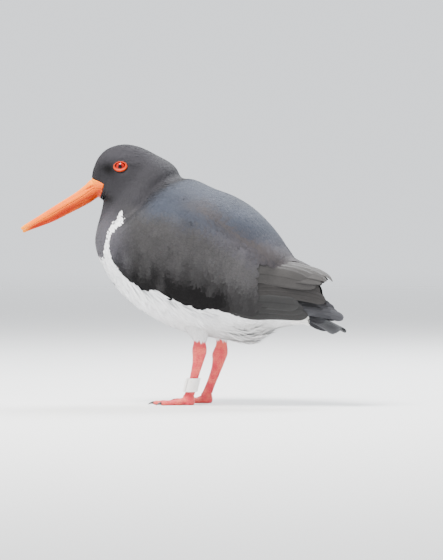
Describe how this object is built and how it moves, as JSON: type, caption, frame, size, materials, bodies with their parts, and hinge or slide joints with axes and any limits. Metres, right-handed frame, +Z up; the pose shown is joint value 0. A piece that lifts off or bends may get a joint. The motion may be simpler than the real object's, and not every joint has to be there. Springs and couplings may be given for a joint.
{
  "type": "oystercatcher bird figure",
  "caption": "Black and white wading bird at rest on both feet, head turned a little to its left, long orange-red bill, pink legs, plain white band on the left leg",
  "frame": {"origin": "on the floor, under the middle of the bounding box", "axes": "+X runs along the body towards the tail, +Y is the bird's right, +Z is up; the bird faces -X"},
  "size_m": [0.3066, 0.1196, 0.241],
  "materials": {
    "hood_feathers": "soft black plumage",
    "body_feathers": "soft plumage, white below and slate black above",
    "wing_feathers": "brownish black plumage with a faint sheen",
    "tail_feathers": "black tail feathers, white at their base",
    "thigh_feathers": "soft white plumage",
    "bill_horn": "orange-red horn, yellower at the tip",
    "eye": "wet red eye with a black pupil",
    "lid_skin": "bare orange-red skin",
    "leg_skin": "coral pink scaly skin",
    "claw_horn": "black horn",
    "band_plastic": "plain white plastic"
  },
  "bodies": {
    "root": {"head": "hood_feathers", "neck": "hood_feathers", "torso": "body_feathers", "bill_upper": "bill_horn", "bill_lower": "bill_horn", "eye_left": "eye", "eye_right": "eye", "eyelid_left": "lid_skin", "eyelid_right": "lid_skin", "wing_left": "wing_feathers", "wing_right": "wing_feathers", "tail": "tail_feathers", "thigh_left": "thigh_feathers", "thigh_right": "thigh_feathers", "tarsus_left": "leg_skin", "tarsus_right": "leg_skin", "foot_left": "leg_skin", "foot_right": "leg_skin", "claw_left_inner": "claw_horn", "claw_left_middle": "claw_horn", "claw_left_outer": "claw_horn", "claw_right_inner": "claw_horn", "claw_right_middle": "claw_horn", "claw_right_outer": "claw_horn", "leg_band": "band_plastic"}
  },
  "joints": []
}
